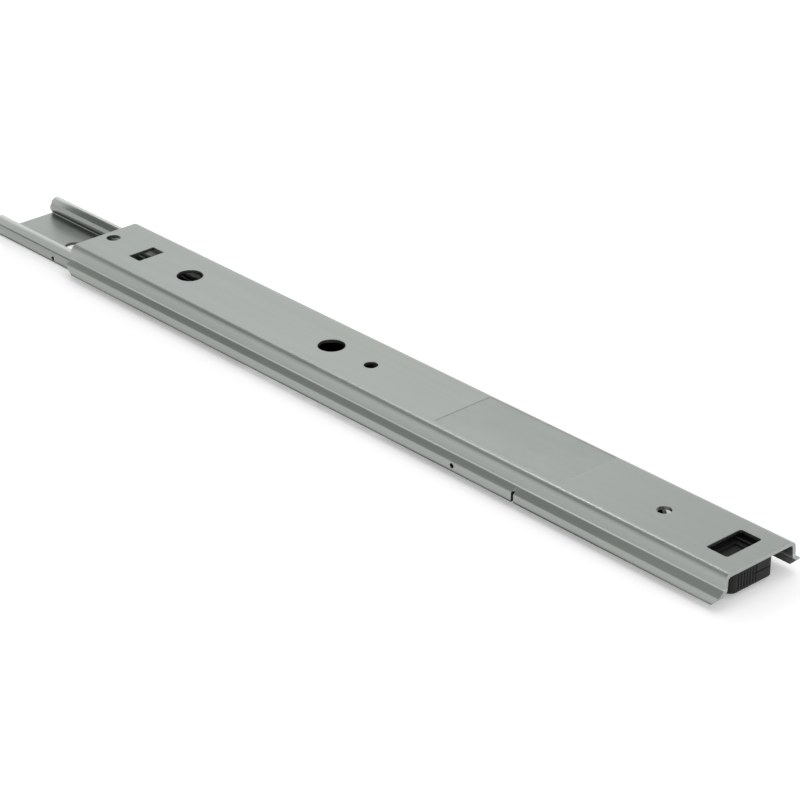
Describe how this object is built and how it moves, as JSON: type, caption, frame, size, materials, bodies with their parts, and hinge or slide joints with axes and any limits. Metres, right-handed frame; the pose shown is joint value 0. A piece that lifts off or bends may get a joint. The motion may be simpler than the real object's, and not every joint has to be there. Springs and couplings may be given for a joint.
{
  "type": "ball-bearing drawer slide",
  "caption": "Steel three-quarter-extension ball-bearing drawer slide: nested cabinet and drawer channels with ball retainers and a black rear catch unit.",
  "frame": {"origin": "on the floor plane (outer face of the drawer member's web), midway along the slide as stored and on its centre line", "axes": "+X along the slide towards the back of the cabinet, +Z from the drawer side to the cabinet side, +Y to the far race"},
  "size_m": [0.353, 0.035, 0.012],
  "materials": {
    "zinc_steel": "satin zinc-plated sheet",
    "retainer_steel": "plain strip",
    "ball_steel": "polished",
    "stud_steel": "turned",
    "black_plastic": "moulded, fine texture",
    "jaw_plastic": "natural acetal",
    "buffer_rubber": "matt",
    "clear_film": "clear blank film"
  },
  "bodies": {
    "cabinet_side": {"cabinet_member": "zinc_steel", "catch_housing": "black_plastic", "catch_cover": "black_plastic", "buffer_pad": "buffer_rubber", "blank_label": "clear_film", "jaw_pin_near": "stud_steel", "jaw_pin_far": "stud_steel", "jaw_spring_near": "stud_steel", "jaw_spring_far": "stud_steel"},
    "drawer_side": {"drawer_member": "zinc_steel", "striker_stud": "stud_steel"},
    "near_race": {"retainer_near": "retainer_steel", "balls_near": "ball_steel"},
    "far_race": {"retainer_far": "retainer_steel", "balls_far": "ball_steel"},
    "near_jaw": {"jaw_near": "jaw_plastic"},
    "far_jaw": {"jaw_far": "jaw_plastic"}
  },
  "joints": [
    {"name": "drawer_travel", "type": "slide", "parent": "cabinet_side", "child": "drawer_side", "axis": [-1, 0, 0], "range_m": [-0.048, 0.181]},
    {"name": "near_race_travel", "type": "slide", "parent": "cabinet_side", "child": "near_race", "axis": [-1, 0, 0], "range_m": [-0.024, 0.0905]},
    {"name": "far_race_travel", "type": "slide", "parent": "cabinet_side", "child": "far_race", "axis": [-1, 0, 0], "range_m": [-0.024, 0.0905]},
    {"name": "near_jaw_swing", "type": "hinge", "parent": "cabinet_side", "child": "near_jaw", "pos_m": [0.153, -0.0056, 0.0048], "axis": [0, 0, 1], "range_deg": [-6, 0], "stiffness_Nm_per_rad": 0.02},
    {"name": "far_jaw_swing", "type": "hinge", "parent": "cabinet_side", "child": "far_jaw", "pos_m": [0.153, 0.0056, 0.0048], "axis": [0, 0, 1], "range_deg": [0, 6], "stiffness_Nm_per_rad": 0.02}
  ],
  "couplings": [
    {"joint": "near_race_travel", "follows": "drawer_travel", "ratio": 0.5},
    {"joint": "far_race_travel", "follows": "drawer_travel", "ratio": 0.5},
    {"joint": "far_jaw_swing", "follows": "near_jaw_swing", "ratio": -1}
  ]
}
